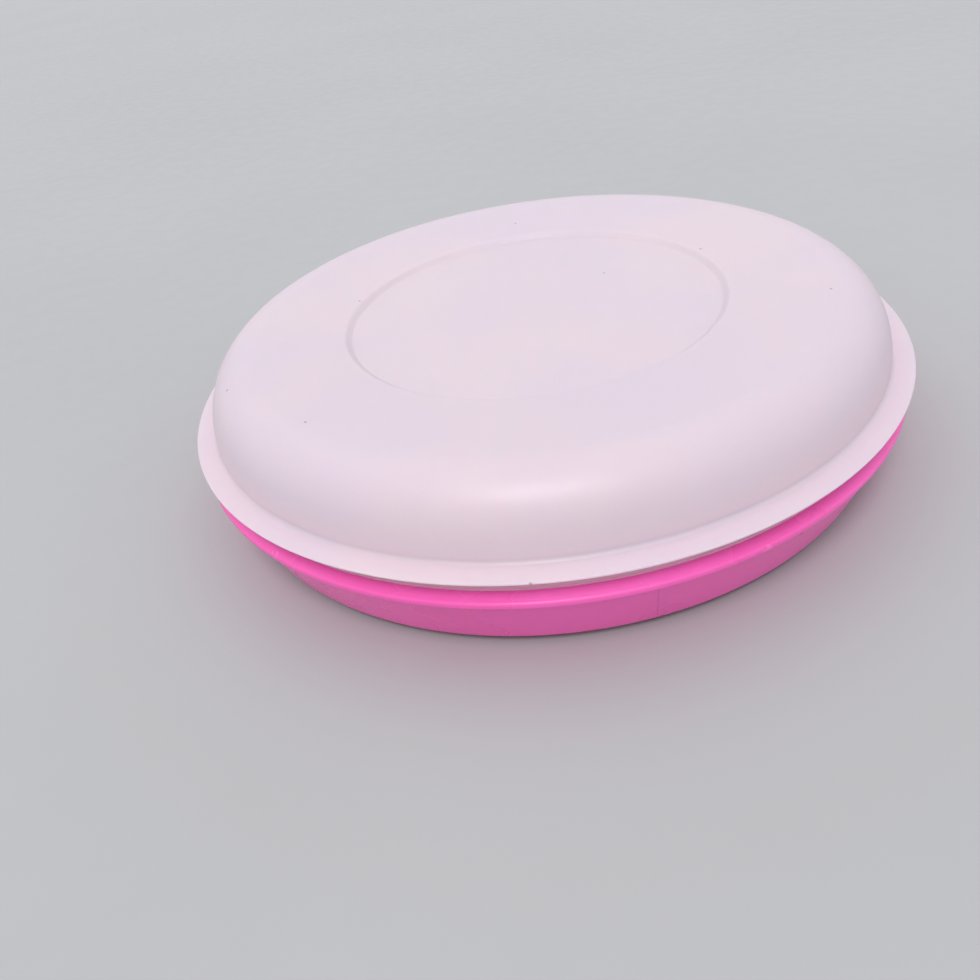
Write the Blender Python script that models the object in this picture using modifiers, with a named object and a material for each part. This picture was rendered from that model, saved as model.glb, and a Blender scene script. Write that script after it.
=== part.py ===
"""Round chip and dip server: a serving tray, a dip bowl with its press-on seal, and a domed cover.

Metres, +Z up. The origin is on the server's axis, on the plane that the tray's foot ring stands on.
Every piece is turned about the Z axis. The seal's pull tab points along -Y, towards the front.
"""

from math import atan2, cos, hypot, pi, sin, tan

import bmesh
import bpy

# ---- fineness of the turned shapes -------------------------------------------------------------
TURN_STEPS = 56          # flats round a full turn
FILLET_STEPS = 3         # straight pieces in a rounded corner
SMALL_FILLET = 0.0018    # a corner rounded by less than this is one chamfer
DOME_STEPS = 7           # straight pieces in the dome's shoulder
TAB_STEPS = 12           # straight pieces round the end of the pull tab
MERGE = 0.00001          # vertices closer than this are one vertex

# ---- clearances between pieces -----------------------------------------------------------------
REST_GAP = 0.0003        # under a piece that rests on another
SKIRT_FIT = 0.0003       # between the tray's rim and the cover's skirt
COLLAR_FIT = 0.0005      # between the dip bowl's foot and the tray's collar
COLLAR_HEADROOM = 0.0010 # between the collar and the dip bowl's underside
SEAL_FIT = 0.0003        # between the dip bowl's rim and the seal's channel
SEAL_HEADROOM = 0.0023   # between the seal and the cover's recess
SKIRT_HEADROOM = 0.0002  # from the skirt's lower edge down to the top of the tray's shoulder

# ---- serving tray ------------------------------------------------------------------------------
RIM_RADIUS = 0.1432      # outer face of the upright rim
RIM_TOP = 0.0374         # height of the rim above the table
RIM_HEIGHT = 0.0068      # of the upright rim above the sloping shoulder
RIM_WALL = 0.0020
TRAY_WALL = 0.0022       # wall and floor
SHOULDER_DROP = 0.0025   # fall of the shoulder
SHOULDER_REACH = 0.0054  # how far the lip stands out past the rim
LIP_DEPTH = 0.0022       # height of the rounded lip
LIP_STEP = 0.0014        # step from the lip back to the wall
WALL_TAPER = 0.0096      # how far the wall comes in from top to bottom
FOOT_HEIGHT = 0.0024
FOOT_WIDTH = 0.0026
FOOT_INSET = 0.0190      # from the wall's bottom corner in to the foot ring
BOTTOM_ROUND = 0.0028    # outside corner between wall and bottom
FLOOR_ROUND = 0.0060     # inside corner between wall and floor
COLLAR_WALL = 0.0022     # of the collar that keeps the dip bowl in the middle

# ---- domed cover -------------------------------------------------------------------------------
COVER_WALL = 0.0013
BRIM_REACH = 0.0052      # how far the brim stands out past the skirt
BRIM_RISE = 0.0010       # rise of the brim from its edge in to the dome
DOME_INSET = 0.0018      # from the rim's outer face in to the foot of the dome
SHOULDER_WIDTH = 0.0214  # of the dome's rounded shoulder
DOME_HEIGHT = 0.0258     # from the brim to the highest ring of the top
TOP_DIP = 0.0029         # fall of the top from its highest ring to the recess
RECESS_RADIUS = 0.0805
RECESS_STEP = 0.0017     # depth of the recess
RECESS_SLOPE = 0.0016    # width of the recess's sloping edge

# ---- dip bowl ----------------------------------------------------------------------------------
DIP_RADIUS = 0.0720      # outside of the wall, under the bead
DIP_WALL = 0.0020
DIP_BEAD = 0.0007        # how far the rim's bead stands out
DIP_BEAD_DEPTH = 0.0034
DIP_TAPER = 0.0085       # how far the wall comes in from the bead to the floor
DIP_ROUND = 0.0170       # outside corner between wall and floor
DIP_FOOT_RADIUS = 0.0420
DIP_FOOT_WIDTH = 0.0024
DIP_FOOT_HEIGHT = 0.0050

# ---- dip bowl's seal ---------------------------------------------------------------------------
SEAL_WALL = 0.0013
SEAL_SINK = 0.0030       # how far the seal's disc lies below the bowl's rim
SEAL_LIP = 0.0050        # how far the seal's lip hangs down outside the rim
TAB_WIDTH = 0.0200
TAB_REACH = 0.0130       # how far the pull tab stands out past the lip

# ---- heights and radii that follow from the sizes above ----------------------------------------
FLOOR_TOP = FOOT_HEIGHT + TRAY_WALL
LIP_RADIUS = RIM_RADIUS + SHOULDER_REACH
SHOULDER_TOP = RIM_TOP - RIM_HEIGHT
LIP_TOP = SHOULDER_TOP - SHOULDER_DROP
WALL_TOP_RADIUS = LIP_RADIUS - LIP_STEP
WALL_TOP = LIP_TOP - LIP_DEPTH
WALL_BOTTOM_RADIUS = WALL_TOP_RADIUS - WALL_TAPER
FOOT_RADIUS = WALL_BOTTOM_RADIUS - FOOT_INSET
COLLAR_RADIUS = DIP_FOOT_RADIUS + COLLAR_FIT
COLLAR_TOP = FLOOR_TOP + REST_GAP + DIP_FOOT_HEIGHT - COLLAR_HEADROOM

SKIRT_RADIUS = RIM_RADIUS + SKIRT_FIT
SKIRT_BOTTOM = SHOULDER_TOP + SKIRT_HEADROOM
BRIM_UNDER = RIM_TOP + REST_GAP
BRIM_TOP = BRIM_UNDER + COVER_WALL
BRIM_RADIUS = SKIRT_RADIUS + COVER_WALL + BRIM_REACH
DOME_RADIUS = RIM_RADIUS - DOME_INSET
DOME_TOP = BRIM_TOP + DOME_HEIGHT
TOP_RADIUS = DOME_RADIUS - SHOULDER_WIDTH
RECESS_EDGE = DOME_TOP - TOP_DIP
RECESS_FLOOR = RECESS_EDGE - RECESS_STEP

SEAL_TOP = RECESS_FLOOR - COVER_WALL - SEAL_HEADROOM
DIP_TOP = SEAL_TOP - SEAL_WALL - REST_GAP
DIP_BOTTOM = FLOOR_TOP + REST_GAP
DIP_FLOOR_UNDER = DIP_BOTTOM + DIP_FOOT_HEIGHT
DIP_RIM_RADIUS = DIP_RADIUS + DIP_BEAD

PINK = (0.86, 0.05, 0.33, 1.0)
SHEER = (0.86, 0.74, 0.80, 0.55)


# ---- helpers for outlines in the (radius, height) plane ----------------------------------------
def rounded(corners):
    """Points along a line of (radius, height, fillet) corners, each rounded by an arc of its fillet."""
    points = []
    for i, (x, z, fillet) in enumerate(corners):
        if not fillet or i in (0, len(corners) - 1):
            points.append((x, z))
            continue
        before, after = corners[i - 1], corners[i + 1]
        back = atan2(before[1] - z, before[0] - x)
        on = atan2(after[1] - z, after[0] - x)
        turn = (on - back + pi) % (2 * pi) - pi
        half = abs(turn) / 2
        room = min(
            hypot(near[0] - x, near[1] - z) * (0.5 if near[2] else 1.0) for near in (before, after)
        )
        radius = min(fillet, room * tan(half))
        middle = back + turn / 2
        away = radius / sin(half)
        cx, cz = x + away * cos(middle), z + away * sin(middle)
        side = 1 if turn > 0 else -1
        sweep = pi - abs(turn)
        steps = 1 if fillet < SMALL_FILLET else FILLET_STEPS
        first = middle + pi + side * sweep / 2
        for k in range(steps + 1):
            angle = first - side * sweep * k / steps
            points.append((cx + radius * cos(angle), cz + radius * sin(angle)))
    return points


def quarter_dome(radius, base, width, height, steps=DOME_STEPS):
    """A quarter of an ellipse from the top ring of a shoulder out and down to its foot."""
    return [
        (radius + width * sin(pi / 2 * k / steps), base + height * cos(pi / 2 * k / steps))
        for k in range(steps + 1)
    ]


# ---- the outlines, each from the axis or a first point round to the last -----------------------
def tray_outline():
    """Inside of the tray from the axis up to the rim, then its outside down to the foot and the axis."""
    run = hypot(WALL_TAPER, WALL_TOP - FOOT_HEIGHT)
    shift_in = TRAY_WALL * (WALL_TOP - FOOT_HEIGHT) / run
    shift_up = TRAY_WALL * WALL_TAPER / run
    lean = WALL_TAPER / (WALL_TOP - FOOT_HEIGHT)
    floor_edge = WALL_BOTTOM_RADIUS - shift_in + lean * (FLOOR_TOP - FOOT_HEIGHT - shift_up)
    inner_shoulder = WALL_TOP + shift_up
    inner_shoulder_radius = WALL_TOP_RADIUS - shift_in
    rim_inner = RIM_RADIUS - RIM_WALL
    return rounded([
        (0.0, FLOOR_TOP, 0),
        (COLLAR_RADIUS, FLOOR_TOP, 0),
        (COLLAR_RADIUS, COLLAR_TOP, COLLAR_WALL * 0.3),
        (COLLAR_RADIUS + COLLAR_WALL, COLLAR_TOP, COLLAR_WALL * 0.3),
        (COLLAR_RADIUS + COLLAR_WALL, FLOOR_TOP, 0),
        (floor_edge, FLOOR_TOP, FLOOR_ROUND),
        (inner_shoulder_radius, inner_shoulder, TRAY_WALL),
        (rim_inner, SHOULDER_TOP - TRAY_WALL * 0.3, RIM_WALL),
        (rim_inner, RIM_TOP, RIM_WALL * 0.35),
        (RIM_RADIUS, RIM_TOP, RIM_WALL * 0.35),
        (RIM_RADIUS, SHOULDER_TOP, RIM_WALL * 0.4),
        (LIP_RADIUS, LIP_TOP, LIP_DEPTH * 0.5),
        (LIP_RADIUS, WALL_TOP, LIP_DEPTH * 0.35),
        (WALL_TOP_RADIUS, WALL_TOP, 0),
        (WALL_BOTTOM_RADIUS, FOOT_HEIGHT, BOTTOM_ROUND),
        (FOOT_RADIUS, FOOT_HEIGHT, 0),
        (FOOT_RADIUS, 0.0, FOOT_WIDTH * 0.2),
        (FOOT_RADIUS - FOOT_WIDTH, 0.0, FOOT_WIDTH * 0.2),
        (FOOT_RADIUS - FOOT_WIDTH, FOOT_HEIGHT, 0),
        (0.0, FOOT_HEIGHT, 0),
    ])


def cover_outline():
    """Top of the cover from the axis out to the brim, its skirt, then its underside back to the axis."""
    skirt_outer = SKIRT_RADIUS + COVER_WALL
    edge_top = BRIM_TOP - BRIM_RISE
    edge_under = edge_top - COVER_WALL
    top = rounded([
        (0.0, RECESS_FLOOR, 0),
        (RECESS_RADIUS - RECESS_SLOPE, RECESS_FLOOR, RECESS_SLOPE),
        (RECESS_RADIUS, RECESS_EDGE, RECESS_SLOPE),
        (TOP_RADIUS, DOME_TOP, 0),
    ])[:-1]
    shoulder = quarter_dome(TOP_RADIUS, BRIM_TOP, SHOULDER_WIDTH, DOME_HEIGHT)
    edge = rounded([
        (DOME_RADIUS, BRIM_TOP + COVER_WALL, 0),
        (DOME_RADIUS + COVER_WALL * 0.5, BRIM_TOP, 0),
        (BRIM_RADIUS, edge_top, COVER_WALL * 0.4),
        (BRIM_RADIUS, edge_under, COVER_WALL * 0.4),
        (skirt_outer, BRIM_UNDER, 0),
        (skirt_outer, SKIRT_BOTTOM, COVER_WALL * 0.3),
        (SKIRT_RADIUS, SKIRT_BOTTOM, COVER_WALL * 0.3),
        (SKIRT_RADIUS, BRIM_UNDER, 0),
        (DOME_RADIUS - COVER_WALL, BRIM_UNDER, 0),
    ])[1:]
    inner = quarter_dome(
        TOP_RADIUS, BRIM_TOP, SHOULDER_WIDTH - COVER_WALL, DOME_HEIGHT - COVER_WALL
    )
    under = rounded([
        (TOP_RADIUS, DOME_TOP - COVER_WALL, 0),
        (RECESS_RADIUS, RECESS_EDGE - COVER_WALL, RECESS_SLOPE),
        (RECESS_RADIUS - RECESS_SLOPE, RECESS_FLOOR - COVER_WALL, RECESS_SLOPE),
        (0.0, RECESS_FLOOR - COVER_WALL, 0),
    ])[1:]
    return top + shoulder[:-1] + edge + inner[::-1] + under


def bowl_outline():
    """Inside of the dip bowl from the axis up to the rim, then its outside down to the foot."""
    floor_top = DIP_FLOOR_UNDER + DIP_WALL
    under_bead = DIP_TOP - DIP_BEAD_DEPTH
    return rounded([
        (0.0, floor_top, 0),
        (DIP_RADIUS - DIP_TAPER - DIP_WALL, floor_top, DIP_ROUND - DIP_WALL),
        (DIP_RADIUS - DIP_WALL, under_bead, 0),
        (DIP_RADIUS - DIP_WALL, DIP_TOP, DIP_WALL * 0.35),
        (DIP_RIM_RADIUS, DIP_TOP, DIP_WALL * 0.35),
        (DIP_RIM_RADIUS, under_bead, DIP_BEAD * 0.6),
        (DIP_RADIUS, under_bead - DIP_BEAD, 0),
        (DIP_RADIUS - DIP_TAPER, DIP_FLOOR_UNDER, DIP_ROUND),
        (DIP_FOOT_RADIUS, DIP_FLOOR_UNDER, 0),
        (DIP_FOOT_RADIUS, DIP_BOTTOM, DIP_FOOT_WIDTH * 0.2),
        (DIP_FOOT_RADIUS - DIP_FOOT_WIDTH, DIP_BOTTOM, DIP_FOOT_WIDTH * 0.2),
        (DIP_FOOT_RADIUS - DIP_FOOT_WIDTH, DIP_FLOOR_UNDER, 0),
        (0.0, DIP_FLOOR_UNDER, 0),
    ])


def seal_outline():
    """Top of the seal from the axis out over the bowl's rim to its lip, then its underside back."""
    disc_top = DIP_TOP - SEAL_SINK
    plug_outer = DIP_RADIUS - DIP_WALL - SEAL_FIT
    plug_inner = plug_outer - SEAL_WALL
    lip_inner = DIP_RIM_RADIUS + SEAL_FIT
    lip_outer = lip_inner + SEAL_WALL
    lip_bottom = DIP_TOP - SEAL_LIP
    return rounded([
        (0.0, disc_top, 0),
        (plug_inner, disc_top, SEAL_WALL),
        (plug_inner, SEAL_TOP, SEAL_WALL * 0.5),
        (lip_outer, SEAL_TOP, SEAL_WALL * 0.8),
        (lip_outer, lip_bottom, SEAL_WALL * 0.3),
        (lip_inner, lip_bottom, SEAL_WALL * 0.3),
        (lip_inner, DIP_TOP + REST_GAP, 0),
        (plug_outer, DIP_TOP + REST_GAP, 0),
        (plug_outer, disc_top - SEAL_WALL, SEAL_WALL * 0.5),
        (0.0, disc_top - SEAL_WALL, 0),
    ])


# ---- building objects ---------------------------------------------------------------------------
def clear_scene():
    for obj in list(bpy.data.objects):
        bpy.data.objects.remove(obj, do_unlink=True)


def new_collection(name):
    collection = bpy.data.collections.new(name)
    bpy.context.scene.collection.children.link(collection)
    return collection


def plastic(name, colour, roughness):
    """A moulded plastic: colour with alpha, and how matt it is."""
    material = bpy.data.materials.new(name)
    material.use_nodes = True
    shader = material.node_tree.nodes["Principled BSDF"]
    shader.inputs["Base Color"].default_value = colour
    shader.inputs["Alpha"].default_value = colour[3]
    shader.inputs["Roughness"].default_value = roughness
    shader.inputs["Metallic"].default_value = 0.0
    return material


def turned(name, outline, material, collection):
    """An outline turned about the Z axis by a Screw modifier."""
    mesh = bpy.data.meshes.new(name)
    points = [(x, 0.0, z) for x, z in outline]
    mesh.from_pydata(points, [(i, i + 1) for i in range(len(points) - 1)], [])
    mesh.materials.append(material)
    obj = bpy.data.objects.new(name, mesh)
    collection.objects.link(obj)
    screw = obj.modifiers.new("turn", "SCREW")
    screw.axis = "Z"
    screw.angle = 2 * pi
    screw.steps = TURN_STEPS
    screw.render_steps = TURN_STEPS
    screw.use_merge_vertices = True
    screw.merge_threshold = MERGE
    screw.use_smooth_shade = True
    return obj


def tab_cutter(collection):
    """A flat tongue with a round end that grows out of the seal's lip towards -Y."""
    lip_outer = DIP_RIM_RADIUS + SEAL_FIT + SEAL_WALL
    half = TAB_WIDTH / 2
    root = -(lip_outer - SEAL_WALL * 0.5)
    end = -(lip_outer + TAB_REACH - half)
    outline = [(half, root)]
    outline += [
        (half * cos(pi * k / TAB_STEPS), end - half * sin(pi * k / TAB_STEPS))
        for k in range(TAB_STEPS + 1)
    ]
    outline.append((-half, root))
    curve = bpy.data.curves.new("seal_tab_outline", "CURVE")
    curve.dimensions = "2D"
    curve.fill_mode = "BOTH"
    curve.extrude = SEAL_WALL / 2
    spline = curve.splines.new("POLY")
    spline.points.add(len(outline) - 1)
    for point, (x, y) in zip(spline.points, outline):
        point.co = (x, y, 0.0, 1.0)
    spline.use_cyclic_u = True
    flat = bpy.data.objects.new("seal_tab_flat", curve)
    collection.objects.link(flat)
    bpy.context.view_layer.update()
    mesh = bpy.data.meshes.new_from_object(flat.evaluated_get(bpy.context.evaluated_depsgraph_get()))
    weld_caps(mesh)
    tab = bpy.data.objects.new("seal_tab", mesh)
    tab.location.z = DIP_TOP - SEAL_LIP + SEAL_WALL
    tab.hide_render = True
    tab.display_type = "WIRE"
    collection.objects.link(tab)
    bpy.data.objects.remove(flat, do_unlink=True)
    return tab


def weld_caps(mesh):
    """Joins the loose caps of a filled curve to its sides."""
    shape = bmesh.new()
    shape.from_mesh(mesh)
    bmesh.ops.remove_doubles(shape, verts=shape.verts, dist=MERGE)
    bmesh.ops.recalc_face_normals(shape, faces=shape.faces)
    shape.to_mesh(mesh)
    shape.free()


def main():
    clear_scene()
    pieces = new_collection("chip_and_dip_server")
    cutters = new_collection("cutters")
    pink = plastic("pink_plastic", PINK, 0.35)
    sheer = plastic("sheer_plastic", SHEER, 0.45)
    turned("serving_tray", tray_outline(), pink, pieces)
    turned("dip_bowl", bowl_outline(), pink, pieces)
    seal = turned("dip_seal", seal_outline(), sheer, pieces)
    turned("domed_cover", cover_outline(), sheer, pieces)
    union = seal.modifiers.new("tab", "BOOLEAN")
    union.operation = "UNION"
    union.solver = "EXACT"
    union.object = tab_cutter(cutters)


if __name__ == "__main__":
    main()
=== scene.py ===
"""Round chip and dip server: the looks of its tray, dip bowl, seal and domed cover, made around
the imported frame. Metres, +Z up, in the frame of the CAD. The seal's pull tab points along -Y."""

from math import atan2, ceil, cos, pi, radians, sin, tan

import bmesh
import bpy
from mathutils import Matrix, Vector


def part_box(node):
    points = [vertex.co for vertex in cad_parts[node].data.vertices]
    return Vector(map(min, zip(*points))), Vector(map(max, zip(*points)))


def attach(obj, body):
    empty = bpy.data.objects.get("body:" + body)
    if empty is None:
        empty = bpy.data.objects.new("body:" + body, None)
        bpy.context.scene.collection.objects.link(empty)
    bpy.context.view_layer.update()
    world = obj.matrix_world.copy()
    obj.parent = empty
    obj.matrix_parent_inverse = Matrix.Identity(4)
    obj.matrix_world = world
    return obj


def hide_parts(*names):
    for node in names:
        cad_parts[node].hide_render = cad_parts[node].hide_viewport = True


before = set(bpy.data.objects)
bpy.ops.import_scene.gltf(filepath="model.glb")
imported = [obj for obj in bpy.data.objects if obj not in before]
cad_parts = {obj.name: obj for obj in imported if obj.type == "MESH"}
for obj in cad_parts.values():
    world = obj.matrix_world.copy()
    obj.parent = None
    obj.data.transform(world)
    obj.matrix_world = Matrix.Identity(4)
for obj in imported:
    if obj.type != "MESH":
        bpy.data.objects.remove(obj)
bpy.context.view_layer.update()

bl_info = {
    "name": "Chip and dip server",
    "version": (1, 0, 0),
    "blender": (4, 5, 0),
    "location": "3D View > Sidebar > Server",
    "description": "A round serving tray with a dip bowl, its press-on seal and a domed cover",
    "category": "Object",
}

TRAY_LOW, TRAY_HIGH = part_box("serving_tray")
BOWL_LOW, BOWL_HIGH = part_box("dip_bowl")
SEAL_LOW, SEAL_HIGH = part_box("dip_seal")
COVER_LOW, COVER_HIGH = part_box("domed_cover")

MERGE = 0.000002         # vertices closer than this are one vertex
REST_GAP = 0.0003        # under a piece that rests on another
LARGE_TURN = 240         # flats round the tray and the cover
SMALL_TURN = 192         # flats round the dip bowl and its seal
SMALL_ROUNDING = 0.0006  # in the corners where a foot ring meets a floor
CORNER_ANGLE = radians(11)   # one flat of a rounded corner turns by about this much
SHARP_ANGLE = radians(38)    # a corner turning by more than this is drawn sharp


# ---- what a user may change --------------------------------------------------------------------
def length(name, description, default):
    """A size in metres. A size read from the frame is cut to the nearest micrometre."""
    return bpy.props.FloatProperty(
        name=name, description=description, default=round(default, 6), min=0.0,
        precision=4, unit="LENGTH", subtype="DISTANCE",
    )


def colour(name, description, default):
    """A linear colour."""
    return bpy.props.FloatVectorProperty(
        name=name, description=description, default=default, size=3, min=0.0, max=1.0,
        subtype="COLOR",
    )


def share(name, description, default):
    return bpy.props.FloatProperty(
        name=name, description=description, default=default, min=0.0, max=1.0, subtype="FACTOR",
    )


def angle(name, description, default):
    return bpy.props.FloatProperty(
        name=name, description=description, default=default, unit="ROTATION", subtype="ANGLE",
    )


def strength(name, description, default):
    return bpy.props.FloatProperty(name=name, description=description, default=default, min=0.0)


class TraySettings(bpy.types.PropertyGroup):
    lip_radius: length("Lip radius", "Outermost ring of the tray", TRAY_HIGH.x)
    rim_top: length("Rim top", "Height of the upright rim above the table", TRAY_HIGH.z)
    rim_height: length("Rim height", "Of the upright rim above the shoulder", 0.0068)
    rim_wall: length("Rim wall", "Thickness of the upright rim", 0.0020)
    wall: length("Wall", "Thickness of the wall and the floor", 0.0022)
    shoulder_drop: length("Shoulder drop", "Fall of the sloping shoulder", 0.0025)
    shoulder_reach: length("Shoulder reach", "From the rim out to the lip", 0.0054)
    lip_depth: length("Lip depth", "Height of the rounded lip", 0.0022)
    lip_step: length("Lip step", "From the lip back to the wall", 0.0014)
    taper: length("Wall taper", "How far the wall comes in towards the bottom", 0.0096)
    foot_height: length("Foot height", "Height of the foot ring", 0.0024)
    foot_width: length("Foot width", "Width of the foot ring", 0.0026)
    foot_inset: length("Foot inset", "From the wall's bottom corner in to the foot ring", 0.0190)
    collar_wall: length("Collar wall", "Thickness of the collar round the dip bowl's foot", 0.0022)
    collar_top: length("Collar top", "Height of the collar above the table", 0.0089)


class BowlSettings(bpy.types.PropertyGroup):
    rim_radius: length("Rim radius", "Outermost ring of the rim's bead", BOWL_HIGH.x)
    top: length("Top", "Height of the rim", BOWL_HIGH.z)
    bottom: length("Bottom", "Height of the foot's lower face", BOWL_LOW.z)
    wall: length("Wall", "Thickness of the wall and the floor", 0.0020)
    bead: length("Bead", "How far the bead stands out from the wall", 0.0007)
    bead_depth: length("Bead depth", "Height of the bead", 0.0034)
    taper: length("Wall taper", "How far the wall comes in towards the floor", 0.0085)
    corner: length("Corner", "Rounding between the wall and the floor, outside", 0.0170)
    foot_radius: length("Foot radius", "Outside of the foot ring", 0.0420)
    foot_width: length("Foot width", "Width of the foot ring", 0.0024)
    foot_height: length("Foot height", "Height of the foot ring", 0.0050)


class SealSettings(bpy.types.PropertyGroup):
    lip_radius: length("Lip radius", "Outside of the lip", SEAL_HIGH.x)
    top: length("Top", "Height of the ring over the bowl's rim", SEAL_HIGH.z)
    bottom: length("Bottom", "Height of the lip's lower edge", SEAL_LOW.z)
    wall: length("Wall", "Thickness of the seal", 0.0013)
    sink: length("Sink", "How far the disc lies below the bowl's rim", 0.0030)
    channel: length("Channel", "Width of the channel that grips the bowl's rim", 0.0033)
    tab_width: length("Tab width", "Width of the pull tab", 0.0200)
    tab_end: length("Tab end", "From the axis out to the end of the pull tab", -SEAL_LOW.y)


class CoverSettings(bpy.types.PropertyGroup):
    brim_radius: length("Brim radius", "Outer edge of the brim", COVER_HIGH.x)
    top: length("Top", "Height of the highest ring", COVER_HIGH.z)
    skirt_bottom: length("Skirt bottom", "Height of the skirt's lower edge", COVER_LOW.z)
    wall: length("Wall", "Thickness of the cover", 0.0013)
    brim_reach: length("Brim reach", "From the skirt out to the brim's edge", 0.0052)
    brim_rise: length("Brim rise", "Rise of the brim from its edge in to the dome", 0.0010)
    brim_edge: length("Brim edge", "Thickness of the brim at its edge", 0.0008)
    dome_radius: length("Dome radius", "Foot of the dome", 0.1414)
    shoulder_width: length("Shoulder width", "Width of the dome's rounded shoulder", 0.0214)
    crown: length("Crown", "Width over which the top levels out before the shoulder", 0.0100)
    top_dip: length("Top dip", "Fall of the top from its highest ring in to the recess", 0.0029)
    recess_radius: length("Recess radius", "Outer edge of the round recess", 0.0805)
    recess_step: length("Recess step", "Depth of the recess", 0.0021)
    recess_slope: length("Recess slope", "Width of the recess's sloping edge", 0.0024)


class FinishSettings(bpy.types.PropertyGroup):
    pink: colour("Pink", "Plastic of the tray and the dip bowl", (0.95, 0.128, 0.49))
    deep_pink: colour("Deep pink", "Where the pink is a shade darker", (0.92, 0.112, 0.45))
    rubbed_pink: colour("Rubbed pink", "Rubbed and scratched places", (0.97, 0.42, 0.70))
    sheer: colour("Sheer", "Milky plastic of the cover and the seal", (0.905, 0.745, 0.785))
    sheer_cool: colour("Cool sheer", "Where it turns to lavender", (0.87, 0.73, 0.805))
    # painted glow: a lighter pink painted on the dome's foot and the skirt, in place of pink light
    # from inside
    sheer_painted_glow: colour(
        "Glow", "At the dome's foot and the skirt, lit from inside by pink", (0.99, 0.775, 0.84))
    dust: colour("Dust", "Specks that stick to the milky plastic", (0.34, 0.24, 0.25))
    pink_roughness: share("Pink roughness", "How matt the pink plastic is", 0.28)
    sheer_roughness: share("Sheer roughness", "How matt the milky plastic is", 0.39)
    clearness: share("Clearness", "How much light goes through the milky plastic", 0.30)
    skirt_cover: share("Skirt cover", "How much the cover's skirt hides what it touches", 0.45)
    lip_cover: share("Lip cover", "How much the seal's lip and tab hide what they touch", 0.7)


class StageSettings(bpy.types.PropertyGroup):
    floor_radius: length("Floor radius", "Radius of the plain floor", 12.0)
    floor: colour("Floor", "Colour of the plain floor", (0.43, 0.426, 0.422))
    sky: colour("Surroundings", "Colour of the light from all round", (0.90, 0.94, 1.0))
    sky_strength: strength("Surroundings' strength", "Of the light from all round", 0.84)
    top: strength("Top light", "Strength of the very wide light overhead", 0.5)
    key: strength("Key light", "Strength of the soft light above the front", 1.20)
    distance: length("Camera distance", "From the camera to the middle of the brim", 0.387)
    aim_height: length("Aim height", "Height of the point that the camera stands off from", 0.038)
    elevation: angle("Camera elevation", "How far above the horizon the camera stands", 0.4713)
    aside: angle("Camera aside", "How far the camera then turns to the side", 0.0760)
    down: angle("Camera down", "How far the camera then turns up or down", -0.1491)
    tilt: angle("Camera tilt", "How far the camera then tilts about its own line of sight", -0.1354)
    lens: bpy.props.FloatProperty(
        name="Lens", description="Focal length in millimetres", default=31.93, min=1.0,
        unit="CAMERA")


SETTINGS = (
    ("server_tray", TraySettings), ("server_bowl", BowlSettings), ("server_seal", SealSettings),
    ("server_cover", CoverSettings), ("server_finish", FinishSettings),
    ("server_stage", StageSettings),
)


# ---- outlines turned about the Z axis ----------------------------------------------------------
def outline(corners):
    """A flat face in the XZ plane from (radius, height, rounding) corners, each corner rounded.

    A rounding is a radius, or (width, height) for an oval corner between two arms that are level
    and upright. Neighbouring roundings share the edge between them."""
    shape = bmesh.new()
    points = [Vector((x, 0.0, z)) for x, z, _ in corners]
    verts = [shape.verts.new(point) for point in points]
    shape.faces.new(verts)
    count = len(corners)
    for i, (_, _, rounding) in enumerate(corners):
        if not rounding:
            continue
        if isinstance(rounding, tuple):
            oval_corner(shape, verts[i], *rounding)
            continue
        near = [(points[j % count] - points[i], corners[j % count][2]) for j in (i - 1, i + 1)]
        half = near[0][0].angle(near[1][0]) / 2
        room = min(arm.length * (0.5 if taken else 1.0) for arm, taken in near)
        reach = min(rounding / tan(half), room)
        round_corner(shape, verts[i], reach, ceil((pi - 2 * half) / CORNER_ANGLE))
    bmesh.ops.remove_doubles(shape, verts=shape.verts, dist=MERGE)
    return shape


def round_corner(shape, corner, reach, steps):
    """Rounds one corner of a flat face, starting that far from it along both of its edges."""
    bmesh.ops.bevel(
        shape, geom=[corner], offset=reach, offset_type="OFFSET", segments=max(2, steps),
        profile=0.5, affect="VERTICES", material=-1,
    )


def oval_corner(shape, corner, width, height, steps=26):
    """Rounds a right-angled corner to a quarter of an oval, by stretching the outline meanwhile."""
    stretch = height / width
    bmesh.ops.scale(shape, vec=(stretch, 1.0, 1.0), verts=shape.verts)
    round_corner(shape, corner, height, steps)
    bmesh.ops.scale(shape, vec=(1.0 / stretch, 1.0, 1.0), verts=shape.verts)


def turn(shape, steps):
    """Spins an outline all the way round the Z axis, and closes it on the axis."""
    bmesh.ops.delete(shape, geom=shape.faces[:], context="FACES_ONLY")
    on_axis = [edge for edge in shape.edges if all(abs(v.co.x) < MERGE for v in edge.verts)]
    bmesh.ops.delete(shape, geom=on_axis, context="EDGES")
    bmesh.ops.spin(
        shape, geom=shape.verts[:] + shape.edges[:], cent=(0, 0, 0), axis=(0, 0, 1),
        dvec=(0, 0, 0), angle=2 * pi, steps=steps, use_merge=True, use_duplicate=False,
    )
    bmesh.ops.remove_doubles(shape, verts=shape.verts, dist=MERGE)
    bmesh.ops.recalc_face_normals(shape, faces=shape.faces)


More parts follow.
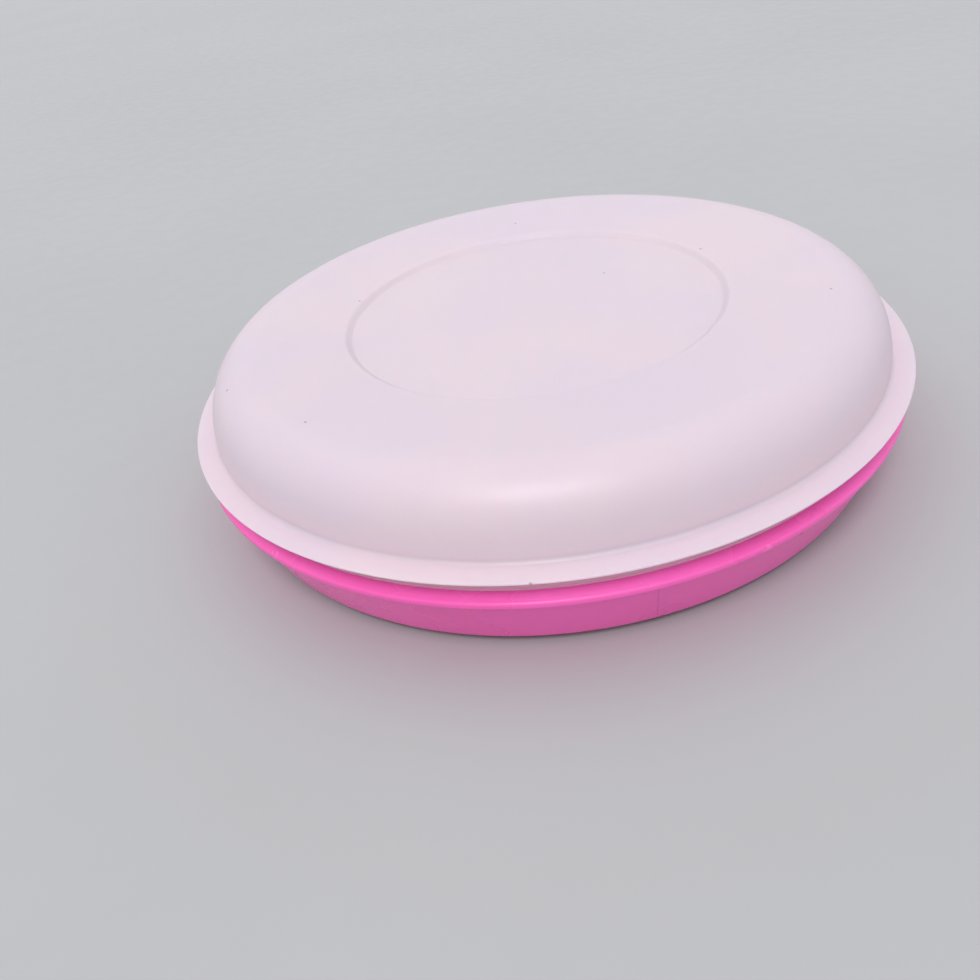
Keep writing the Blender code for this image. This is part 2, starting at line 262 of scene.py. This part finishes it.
def wall_strip(shape, width, proud, low, high, azimuth, tip):
    """A fine raised line on a sloping wall, from low to high, which are (radius, height) points.

    azimuth is measured from the front, -Y, towards +X, and tip is how far the line leans over."""
    low, high = Vector((0.0, -low[0], low[1])), Vector((0.0, -high[0], high[1]))
    slope = high - low
    made = bmesh.ops.create_cube(shape, size=1.0)["verts"]
    bmesh.ops.scale(shape, vec=(width, 2 * proud, slope.length), verts=made)
    edges = list({edge for vert in made for edge in vert.link_edges})
    rounded = bmesh.ops.bevel(
        shape, geom=edges, offset=proud * 0.8, offset_type="OFFSET", segments=2, profile=0.5,
        affect="EDGES", material=-1,
    )
    made = list({vert for face in rounded["faces"] for vert in face.verts})
    lean = Matrix.Rotation(atan2(-slope.y, slope.z), 3, "X")
    spin = Matrix.Rotation(azimuth, 3, "Z")
    bmesh.ops.rotate(
        shape, cent=(0, 0, 0), matrix=lean @ Matrix.Rotation(-tip, 3, "Y"), verts=made)
    bmesh.ops.translate(shape, vec=(low + high) / 2, verts=made)
    bmesh.ops.rotate(shape, cent=(0, 0, 0), matrix=spin, verts=made)


def finished(name, shape, material, body, node):
    """Makes a piece from a mesh, gives it its finish, and ties it to the frame."""
    mesh = bpy.data.meshes.new(name)
    shape.to_mesh(mesh)
    shape.free()
    mesh.polygons.foreach_set("use_smooth", [True] * len(mesh.polygons))
    mesh.set_sharp_from_angle(angle=SHARP_ANGLE)
    mesh.materials.append(material)
    piece = bpy.data.objects.new(name, mesh)
    bpy.context.scene.collection.objects.link(piece)
    even = piece.modifiers.new("even shading", "WEIGHTED_NORMAL")
    even.keep_sharp = True
    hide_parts(node)
    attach(piece, body)
    return piece


# ---- node trees of the materials ---------------------------------------------------------------
class Finish:
    """A material's nodes, added one after another and tied to its shader at the end."""

    def __init__(self, name):
        self.material = bpy.data.materials.new(name)
        self.material.use_nodes = True
        self.tree = self.material.node_tree
        self.shader = self.tree.nodes["Principled BSDF"]
        self.place = self.add("ShaderNodeTexCoord").outputs["Object"]

    def add(self, kind, inputs=None, **settings):
        """Adds a node. An input is a value, or another node's output."""
        made = self.tree.nodes.new(kind)
        for key, value in settings.items():
            setattr(made, key, value)
        for key, value in (inputs or {}).items():
            if isinstance(value, bpy.types.NodeSocket):
                self.tree.links.new(value, made.inputs[key])
            else:
                made.inputs[key].default_value = value
        return made

    def height(self):
        """How far above the table a point is at rest."""
        return self.add("ShaderNodeSeparateXYZ", {0: self.place}).outputs["Z"]

    def noise(self, scale, detail=2.0, stretch=(1, 1, 1), turned=(0, 0, 0), rough=0.5):
        """Noise with that many lumps to the metre, turned and then stretched."""
        spread = self.add("ShaderNodeMapping", {
            "Vector": self.place, "Rotation": turned, "Scale": stretch}, vector_type="TEXTURE")
        return self.add("ShaderNodeTexNoise", {
            "Vector": spread.outputs[0], "Scale": scale, "Detail": detail, "Roughness": rough,
        }).outputs["Fac"]

    def level(self, value, low, high, to_low=0.0, to_high=1.0):
        """Carries low..high over to to_low..to_high, held at both ends."""
        return self.add("ShaderNodeMapRange", {
            "Value": value, "From Min": low, "From Max": high, "To Min": to_low,
            "To Max": to_high}, interpolation_type="SMOOTHSTEP").outputs["Result"]

    def maths(self, operation, first, second=0.0, third=0.0):
        """A sum, a product or the like of up to three values."""
        return self.add("ShaderNodeMath", {0: first, 1: second, 2: third},
                        operation=operation).outputs[0]

    def mixed(self, factor, first, second):
        """A mix of two colours."""
        made = self.add("ShaderNodeMix", {"Factor": factor}, data_type="RGBA")
        first_colour, second_colour, colour_out = 6, 7, 2    # the node's sockets for colours
        for key, value in ((first_colour, first), (second_colour, second)):
            if isinstance(value, bpy.types.NodeSocket):
                self.tree.links.new(value, made.inputs[key])
            else:
                made.inputs[key].default_value = (*value, 1.0)
        return made.outputs[colour_out]

    def scratches(self, scale, turned, width=0.012, spread=30.0, cover=(0.55, 0.72)):
        """Hairline scratches that run one way, in patches."""
        lines = self.noise(scale, 1.0, (spread, 1.0, 1.0), turned)
        off_middle = self.maths("ABSOLUTE", self.maths("SUBTRACT", lines, 0.5))
        fine = self.level(off_middle, 0.0, width, 1.0, 0.0)
        patches = self.level(self.noise(scale * 0.25, 2.0, turned=turned), *cover)
        return self.maths("MULTIPLY", fine, patches)

    def bumps(self, parts):
        """A chain of bumps from (height, strength, depth in metres), the broadest first."""
        normal = None
        for height, strength, depth in parts:
            inputs = {"Height": height, "Strength": strength, "Distance": depth}
            if normal is not None:
                inputs["Normal"] = normal
            normal = self.add("ShaderNodeBump", inputs).outputs["Normal"]
        return normal

    def done(self, links, **values):
        """Ties outputs to the shader's sockets, and sets the values that are the same all over."""
        for key, socket in links.items():
            self.tree.links.new(socket, self.shader.inputs[key])
        for key, value in values.items():
            self.shader.inputs[key.replace("_", " ")].default_value = value
        return self.material


def pink_plastic(name, worn_low, worn_high):
    """Glossy pink moulded plastic, rubbed between two heights where hands and shelves touch it."""
    s = bpy.context.scene.server_finish
    finish = Finish(name)
    height = finish.height()
    band = finish.maths(
        "MULTIPLY",
        finish.level(height, worn_low - 0.0012, worn_low + 0.0008),
        finish.level(height, worn_high, worn_high + 0.0015, 1.0, 0.0),
    )
    cloud = finish.noise(22.0, 3.0)
    patch = finish.level(finish.noise(95.0, 3.0, rough=0.6), 0.66, 0.78)
    rub = finish.maths("MULTIPLY", band, patch)
    lines = finish.maths(
        "MAXIMUM",
        finish.scratches(420.0, (0.3, 0.2, 0.5)),
        finish.scratches(380.0, (0.1, -0.4, 2.1)),
    )
    tint = finish.mixed(finish.level(cloud, 0.35, 0.65), tuple(s.deep_pink), tuple(s.pink))
    worn = finish.maths("MULTIPLY_ADD", rub, 0.35, finish.maths("MULTIPLY", lines, 0.16))
    tint = finish.mixed(worn, tint, tuple(s.rubbed_pink))
    soft = finish.level(cloud, 0.3, 0.7, s.pink_roughness - 0.04, s.pink_roughness + 0.05)
    soft = finish.maths("MULTIPLY_ADD", worn, 0.35, soft)
    ripple, grain = finish.noise(160.0, 1.0), finish.noise(2400.0, 2.0)
    normal = finish.bumps((
        (ripple, 0.25, 0.00012), (grain, 0.20, 0.00003), (lines, 0.35, 0.00003),
    ))
    return finish.done(
        {"Base Color": tint, "Roughness": soft, "Normal": normal},
        IOR=1.49, Subsurface_Weight=0.10, Subsurface_Scale=0.002,
    )


def sheer_plastic(name, clearness, skirt_cover, skirt_top):
    """Milky see-through plastic with a fine matt skin, hairline scratches and a few dust specks.

    Below skirt_top it hides less of the pink that it lies against. There, and from just above
    the brim up in to the shoulder, a lighter pink glow is painted in to its colour: painted light
    that stands in for the light which the pink throws in to it."""
    s = bpy.context.scene.server_finish
    finish = Finish(name)
    height = finish.height()
    skirt_fade, brim_end, painted_glow_start, painted_glow_end = 0.0006, 0.0030, 0.0045, 0.0150
    alpha = finish.level(height, skirt_top - skirt_fade, skirt_top, skirt_cover, 1.0)
    cloud = finish.noise(14.0, 2.0)
    tint = finish.mixed(finish.level(cloud, 0.35, 0.65), tuple(s.sheer), tuple(s.sheer_cool))
    # painted glow: a lighter pink painted on the dome's foot and the skirt, in place of pink light
    # from inside
    shoulder_painted_glow = finish.maths(
        "MULTIPLY",
        finish.level(height, skirt_top + brim_end, skirt_top + painted_glow_start),
        finish.level(height, skirt_top + painted_glow_start, skirt_top + painted_glow_end, 1.0, 0.0),
    )
    skirt_painted_glow = finish.level(height, skirt_top - skirt_fade, skirt_top, 1.0, 0.0)
    painted_glow = finish.maths("MAXIMUM", shoulder_painted_glow, skirt_painted_glow)
    tint = finish.mixed(painted_glow, tint, tuple(s.sheer_painted_glow))
    specks = finish.add("ShaderNodeTexVoronoi", {
        "Vector": finish.place, "Scale": 26.0}, voronoi_dimensions="2D")
    cell_draw = finish.add("ShaderNodeSeparateColor", {0: specks.outputs["Color"]}).outputs[0]
    dust = finish.maths(
        "MULTIPLY",
        finish.level(cell_draw, 0.68, 0.72),
        finish.level(specks.outputs["Distance"], 0.010, 0.017, 1.0, 0.0),
    )
    tint = finish.mixed(finish.maths("MULTIPLY", dust, 0.70), tint, tuple(s.dust))
    lines = finish.maths(
        "MAXIMUM",
        finish.scratches(300.0, (0.0, 0.0, 0.35), cover=(0.60, 0.74)),
        finish.scratches(260.0, (0.0, 0.0, 1.9), cover=(0.62, 0.76)),
    )
    soft = finish.level(cloud, 0.3, 0.7, s.sheer_roughness - 0.03, s.sheer_roughness + 0.04)
    soft = finish.maths("MULTIPLY_ADD", finish.maths("MAXIMUM", lines, dust), 0.2, soft)
    ripple, grain = finish.noise(120.0, 1.0), finish.noise(3000.0, 2.0)
    normal = finish.bumps((
        (ripple, 0.15, 0.00015), (grain, 0.12, 0.00003), (lines, 0.50, 0.00003),
    ))
    return finish.done(
        {"Base Color": tint, "Roughness": soft, "Normal": normal, "Alpha": alpha},
        IOR=1.5, Transmission_Weight=clearness,
        Subsurface_Weight=0.6, Subsurface_Radius=(1.0, 0.8, 0.9), Subsurface_Scale=0.0018,
    )


# ---- the pieces --------------------------------------------------------------------------------
class SERVER_OT_tray(bpy.types.Operator):
    """Turn the serving tray, with its rim, shoulder, foot ring and collar"""
    bl_idname = "server.tray"
    bl_label = "Serving tray"

    def execute(self, context):
        s = context.scene.server_tray
        rim = s.lip_radius - s.shoulder_reach
        rim_inner = rim - s.rim_wall
        shoulder = s.rim_top - s.rim_height
        lip_top = shoulder - s.shoulder_drop
        wall_top = lip_top - s.lip_depth
        wall_top_radius = s.lip_radius - s.lip_step
        wall_bottom_radius = wall_top_radius - s.taper
        rise = wall_top - s.foot_height
        run = Vector((s.taper, rise)).length
        shift_in, shift_up = s.wall * rise / run, s.wall * s.taper / run
        floor = s.foot_height + s.wall
        floor_edge = wall_bottom_radius - shift_in + s.taper / rise * (s.wall - shift_up)
        foot = wall_bottom_radius - s.foot_inset
        foot_inner = foot - s.foot_width
        collar = context.scene.server_bowl.foot_radius + 0.0005    # with room for the bowl's foot
        collar_outer = collar + s.collar_wall
        # marks of the mould, underneath: a shallow ring groove, and a ring round the gate
        groove_outer, groove_inner, groove_side, groove_depth = 0.0645, 0.0620, 0.0005, 0.0003
        gate_outer, gate_inner, gate_depth = 0.0060, 0.0017, 0.0005
        shape = outline([
            (0.0, floor, 0),
            (collar, floor, 0),
            (collar, s.collar_top, s.collar_wall * 0.3),
            (collar_outer, s.collar_top, s.collar_wall * 0.3),
            (collar_outer, floor, 0.0008),
            (floor_edge, floor, 0.0060),
            (wall_top_radius - shift_in, wall_top + shift_up, s.wall),
            (rim_inner, shoulder - s.wall * 0.3, s.rim_wall),
            (rim_inner, s.rim_top, s.rim_wall * 0.35),
            (rim, s.rim_top, s.rim_wall * 0.35),
            (rim, shoulder, s.rim_wall * 0.4),
            (s.lip_radius, lip_top, s.lip_depth * 0.5),
            (s.lip_radius, wall_top, s.lip_depth * 0.35),
            (wall_top_radius, wall_top, 0.0004),
            (wall_bottom_radius, s.foot_height, 0.0028),
            (foot, s.foot_height, SMALL_ROUNDING),
            (foot, 0.0, s.foot_width * 0.25),
            (foot_inner, 0.0, s.foot_width * 0.25),
            (foot_inner, s.foot_height, SMALL_ROUNDING),
            (groove_outer, s.foot_height, 0),
            (groove_outer - groove_side, s.foot_height - groove_depth, 0),
            (groove_inner + groove_side, s.foot_height - groove_depth, 0),
            (groove_inner, s.foot_height, 0),
            (gate_outer, s.foot_height, SMALL_ROUNDING),
            (gate_outer - 0.0008, s.foot_height + gate_depth, SMALL_ROUNDING),
            (gate_inner + 0.0003, s.foot_height + gate_depth, 0),
            (gate_inner, s.foot_height, 0.0003),
            (0.0, s.foot_height, 0),
        ])
        turn(shape, LARGE_TURN)
        seam_low = (wall_bottom_radius + 0.0012, s.foot_height + 0.0030)
        seam_high = (wall_top_radius - 0.0002, wall_top - 0.0005)
        wall_strip(shape, 0.0024, 0.00025, seam_low, seam_high, radians(11.8), radians(5))
        pink = pink_plastic("tray_pink_finish", wall_top, lip_top)
        finished("serving_tray_piece", shape, pink, "tray", "serving_tray")
        return {"FINISHED"}


class SERVER_OT_bowl(bpy.types.Operator):
    """Turn the dip bowl, with its beaded rim and its foot ring"""
    bl_idname = "server.bowl"
    bl_label = "Dip bowl"

    def execute(self, context):
        s = context.scene.server_bowl
        outside = s.rim_radius - s.bead
        inside = outside - s.wall
        under = s.bottom + s.foot_height
        floor = under + s.wall
        under_bead = s.top - s.bead_depth
        foot_inner = s.foot_radius - s.foot_width
        gate_outer, gate_inner, gate_depth = 0.0042, 0.0013, 0.0004    # a mark of the mould
        shape = outline([
            (0.0, floor, 0),
            (inside - s.taper, floor, s.corner - s.wall),
            (inside, under_bead, 0),
            (inside, s.top, s.wall * 0.35),
            (s.rim_radius, s.top, s.wall * 0.35),
            (s.rim_radius, under_bead, s.bead * 0.6),
            (outside, under_bead - s.bead, 0.0004),
            (outside - s.taper, under, s.corner),
            (s.foot_radius, under, SMALL_ROUNDING),
            (s.foot_radius, s.bottom, s.foot_width * 0.25),
            (foot_inner, s.bottom, s.foot_width * 0.25),
            (foot_inner, under, SMALL_ROUNDING),
            (gate_outer, under, gate_depth),
            (gate_outer - 0.0006, under + gate_depth, gate_depth),
            (gate_inner + 0.0003, under + gate_depth, 0),
            (gate_inner, under, 0.0002),
            (0.0, under, 0),
        ])
        turn(shape, SMALL_TURN)
        pink = pink_plastic("bowl_pink_finish", under_bead, s.top)
        finished("dip_bowl_piece", shape, pink, "bowl", "dip_bowl")
        return {"FINISHED"}


class SERVER_OT_seal(bpy.types.Operator):
    """Turn the press-on seal of the dip bowl, and join its pull tab to it"""
    bl_idname = "server.seal"
    bl_label = "Dip seal"

    def execute(self, context):
        s = context.scene.server_seal
        ring_under = s.top - s.wall
        disc = ring_under - REST_GAP - s.sink
        lip_inner = s.lip_radius - s.wall
        plug_outer = lip_inner - s.channel
        plug_inner = plug_outer - s.wall
        shape = outline([
            (0.0, disc, 0),
            (plug_inner, disc, s.wall),
            (plug_inner, s.top, s.wall * 0.5),
            (s.lip_radius, s.top, s.wall * 0.8),
            (s.lip_radius, s.bottom, s.wall * 0.3),
            (lip_inner, s.bottom, s.wall * 0.3),
            (lip_inner, ring_under, 0.0003),
            (plug_outer, ring_under, 0.0003),
            (plug_outer, disc - s.wall, s.wall * 0.5),
            (0.0, disc - s.wall, 0),
        ])
        turn(shape, SMALL_TURN)
        finish = context.scene.server_finish
        sheer = sheer_plastic(
            "seal_sheer_finish", finish.clearness, finish.lip_cover, disc - 0.0002)
        piece = finished("dip_seal_piece", shape, sheer, "seal", "dip_seal")
        join(piece, self.tab(s))
        return {"FINISHED"}

    def tab(self, s):
        """A flat tongue with a round end, rooted inside the lip."""
        half = s.tab_width / 2
        middle = -(s.tab_end - half)
        root = -(s.lip_radius - s.wall * 0.5)
        shape = bmesh.new()
        bmesh.ops.create_circle(shape, cap_ends=True, radius=half, segments=48)
        straight = [vert for vert in shape.verts if vert.co.y > MERGE]
        bmesh.ops.delete(shape, geom=straight, context="VERTS")
        flat = sorted((v for v in shape.verts if abs(v.co.y) < MERGE), key=lambda v: v.co.x)
        ends = [shape.verts.new((v.co.x, root - middle, 0.0)) for v in (flat[0], flat[-1])]
        arc = sorted(
            (v for v in shape.verts if v not in ends),
            key=lambda v: atan2(v.co.y, v.co.x) if v.co.y < -MERGE else (
                0.0 if v.co.x > 0 else -pi),
        )
        face = shape.faces.new([*arc, ends[1], ends[0]])
        bmesh.ops.translate(
            shape, vec=(0.0, middle, s.bottom + s.wall * 0.5), verts=shape.verts)
        grown = bmesh.ops.extrude_face_region(shape, geom=[face])["geom"]
        top = [item for item in grown if isinstance(item, bmesh.types.BMVert)]
        bmesh.ops.translate(shape, vec=(0.0, 0.0, s.wall), verts=top)
        bmesh.ops.recalc_face_normals(shape, faces=shape.faces)
        rims = [e for e in shape.edges if abs(e.verts[0].co.z - e.verts[1].co.z) < MERGE]
        bmesh.ops.bevel(
            shape, geom=rims, offset=s.wall * 0.3, offset_type="OFFSET", segments=3,
            profile=0.5, affect="EDGES", material=-1,
        )
        return shape


def join(piece, shape):
    """Unites another mesh with a piece, and keeps the result as the piece's own mesh."""
    other_mesh = bpy.data.meshes.new("joined")
    shape.to_mesh(other_mesh)
    shape.free()
    other = bpy.data.objects.new("joined", other_mesh)
    bpy.context.scene.collection.objects.link(other)
    union = piece.modifiers.new("union", "BOOLEAN")
    union.operation, union.solver, union.object = "UNION", "EXACT", other
    piece.modifiers.move(len(piece.modifiers) - 1, 0)
    even = piece.modifiers["even shading"]
    even.show_viewport = False
    found = piece.evaluated_get(bpy.context.evaluated_depsgraph_get())
    united = bpy.data.meshes.new_from_object(found)
    piece.modifiers.remove(union)
    even.show_viewport = True
    piece.data = united
    united.polygons.foreach_set("use_smooth", [True] * len(united.polygons))
    united.set_sharp_from_angle(angle=SHARP_ANGLE)
    bpy.data.objects.remove(other)
    bpy.data.meshes.remove(other_mesh)


class SERVER_OT_cover(bpy.types.Operator):
    """Turn the domed cover, with its recessed top, its brim and its skirt"""
    bl_idname = "server.cover"
    bl_label = "Domed cover"

    def execute(self, context):
        s = context.scene.server_cover
        tray = context.scene.server_tray
        skirt_outer = s.brim_radius - s.brim_reach
        skirt_inner = skirt_outer - s.wall
        brim_under = tray.rim_top + REST_GAP
        brim_top = brim_under + s.wall
        edge = brim_top - s.brim_rise
        crown = s.dome_radius - s.shoulder_width - s.crown
        recess_edge = s.top - s.top_dip
        recess = recess_edge - s.recess_step
        recess_foot = s.recess_radius - s.recess_slope
        bend = 0.0014    # rounding between the dome's foot and the brim
        bead = 0.0004    # how far the bead along the skirt's lower edge stands out
        oval = (s.shoulder_width, s.top - brim_top - bend * 1.2)
        inner_oval = (s.shoulder_width - s.wall, s.top - brim_top - s.wall)
        level_out = s.crown / tan(atan2(s.top_dip, crown - s.recess_radius) / 2)
        shape = outline([
            (0.0, recess, 0),
            (recess_foot, recess, s.recess_slope * 0.6),
            (s.recess_radius, recess_edge, s.recess_slope),
            (crown, s.top, level_out),
            (s.dome_radius, s.top, oval),
            (s.dome_radius, brim_top, bend),
            (s.brim_radius, edge, s.brim_edge * 0.4),
            (s.brim_radius, edge - s.brim_edge, s.brim_edge * 0.5),
            (skirt_outer, brim_under, 0.0005),
            (skirt_outer, s.skirt_bottom + bead * 3.0, bead),
            (skirt_outer + bead, s.skirt_bottom + bead * 2.0, bead * 0.8),
            (skirt_outer + bead, s.skirt_bottom, bead),
            (skirt_inner, s.skirt_bottom, s.wall * 0.3),
            (skirt_inner, brim_under, 0.0003),
            (s.dome_radius - s.wall, brim_under, 0.0004),
            (s.dome_radius - s.wall, s.top - s.wall, inner_oval),
            (crown, s.top - s.wall, level_out),
            (s.recess_radius, recess_edge - s.wall, s.recess_slope),
            (recess_foot, recess - s.wall, s.recess_slope),
            (0.0, recess - s.wall, 0),
        ])
        turn(shape, LARGE_TURN)
        finish = context.scene.server_finish
        sheer = sheer_plastic(
            "cover_sheer_finish", finish.clearness, finish.skirt_cover, brim_under - 0.0006)
        finished("domed_cover_piece", shape, sheer, "cover", "domed_cover")
        return {"FINISHED"}


# ---- floor, light and camera -------------------------------------------------------------------
def far_light(name, direction, spread, strength, tint):
    """A far round soft light that shines from a direction, as wide as that angle."""
    lamp = bpy.data.lights.new(name, "SUN")
    lamp.angle, lamp.energy, lamp.color = spread, strength, tint
    light = bpy.data.objects.new(name, lamp)
    direction = Vector(direction).normalized()
    light.location = direction
    light.rotation_mode = "QUATERNION"
    light.rotation_quaternion = direction.to_track_quat("Z", "Y")
    bpy.context.scene.collection.objects.link(light)


class SERVER_OT_stage(bpy.types.Operator):
    """Lay the plain floor, hang the soft lights and place the camera"""
    bl_idname = "server.stage"
    bl_label = "Floor, light and camera"

    def execute(self, context):
        s = context.scene.server_stage
        self.floor(s)
        world = bpy.data.worlds.new("soft surroundings")
        context.scene.world = world
        world.use_nodes = True
        background = world.node_tree.nodes["Background"]
        background.inputs["Color"].default_value = (*s.sky, 1.0)
        background.inputs["Strength"].default_value = s.sky_strength
        warm, cool = (1.0, 0.99, 0.98), (0.98, 0.97, 1.0)
        far_light("top_light", (-0.15, 0.05, 1.0), radians(80), s.top, warm)
        far_light("key_light", (-0.065, -0.493, 0.868), radians(24), s.key, cool)
        # the default view transform dulls a pink this strong
        context.scene.view_settings.view_transform = "Standard"
        self.camera(context, s)
        return {"FINISHED"}

    def floor(self, s):
        shape = bmesh.new()
        bmesh.ops.create_circle(shape, cap_ends=True, radius=s.floor_radius, segments=96)
        mesh = bpy.data.meshes.new("floor")
        shape.to_mesh(mesh)
        shape.free()
        finish = Finish("plain_floor")
        tone = finish.level(finish.noise(3.0, 4.0), 0.3, 0.7)
        tint = finish.mixed(tone, tuple(s.floor), tuple(0.97 * part for part in s.floor))
        matt = finish.level(finish.noise(60.0, 3.0), 0.3, 0.7, 0.55, 0.68)
        finish.done({"Base Color": tint, "Roughness": matt})
        mesh.materials.append(finish.material)
        floor = bpy.data.objects.new("floor", mesh)
        bpy.context.scene.collection.objects.link(floor)

    def camera(self, context, s):
        """The camera stands in front and above, and looks past the middle of the brim."""
        data = bpy.data.cameras.new("camera")
        data.lens, data.sensor_width = s.lens, 36.0
        data.clip_start, data.clip_end = 0.01, 60.0
        camera = bpy.data.objects.new("camera", data)
        context.scene.collection.objects.link(camera)
        camera.matrix_world = (
            Matrix.Translation((0.0, -s.distance * cos(s.elevation),
                                s.aim_height + s.distance * sin(s.elevation)))
            @ Matrix.Rotation(pi / 2 - s.elevation, 4, "X")
            @ Matrix.Rotation(s.aside, 4, "Y")
            @ Matrix.Rotation(s.down, 4, "X")
            @ Matrix.Rotation(s.tilt, 4, "Z")
        )
        context.scene.camera = camera


# ---- sidebar and registration ------------------------------------------------------------------
OPERATORS = (SERVER_OT_tray, SERVER_OT_bowl, SERVER_OT_seal, SERVER_OT_cover, SERVER_OT_stage)


class SERVER_PT_panel(bpy.types.Panel):
    """Lists the server's pieces and their sizes"""
    bl_idname = "SERVER_PT_panel"
    bl_label = "Chip and dip server"
    bl_space_type = "VIEW_3D"
    bl_region_type = "UI"
    bl_category = "Server"

    def draw(self, context):
        for operator in OPERATORS:
            self.layout.operator(operator.bl_idname)
        for name, group in SETTINGS:
            box = self.layout.box()
            box.label(text=name.replace("server_", "").capitalize())
            for key in group.__annotations__:
                box.prop(getattr(context.scene, name), key)


def register():
    for _, group in SETTINGS:
        bpy.utils.register_class(group)
    for name, group in SETTINGS:
        setattr(bpy.types.Scene, name, bpy.props.PointerProperty(type=group))
    for cls in (*OPERATORS, SERVER_PT_panel):
        bpy.utils.register_class(cls)


def unregister():
    for cls in (SERVER_PT_panel, *reversed(OPERATORS)):
        bpy.utils.unregister_class(cls)
    for name, group in reversed(SETTINGS):
        delattr(bpy.types.Scene, name)
        bpy.utils.unregister_class(group)


def main():
    register()
    bpy.ops.server.tray()
    bpy.ops.server.bowl()
    bpy.ops.server.seal()
    bpy.ops.server.cover()
    bpy.ops.server.stage()


if __name__ == "__main__":
    main()
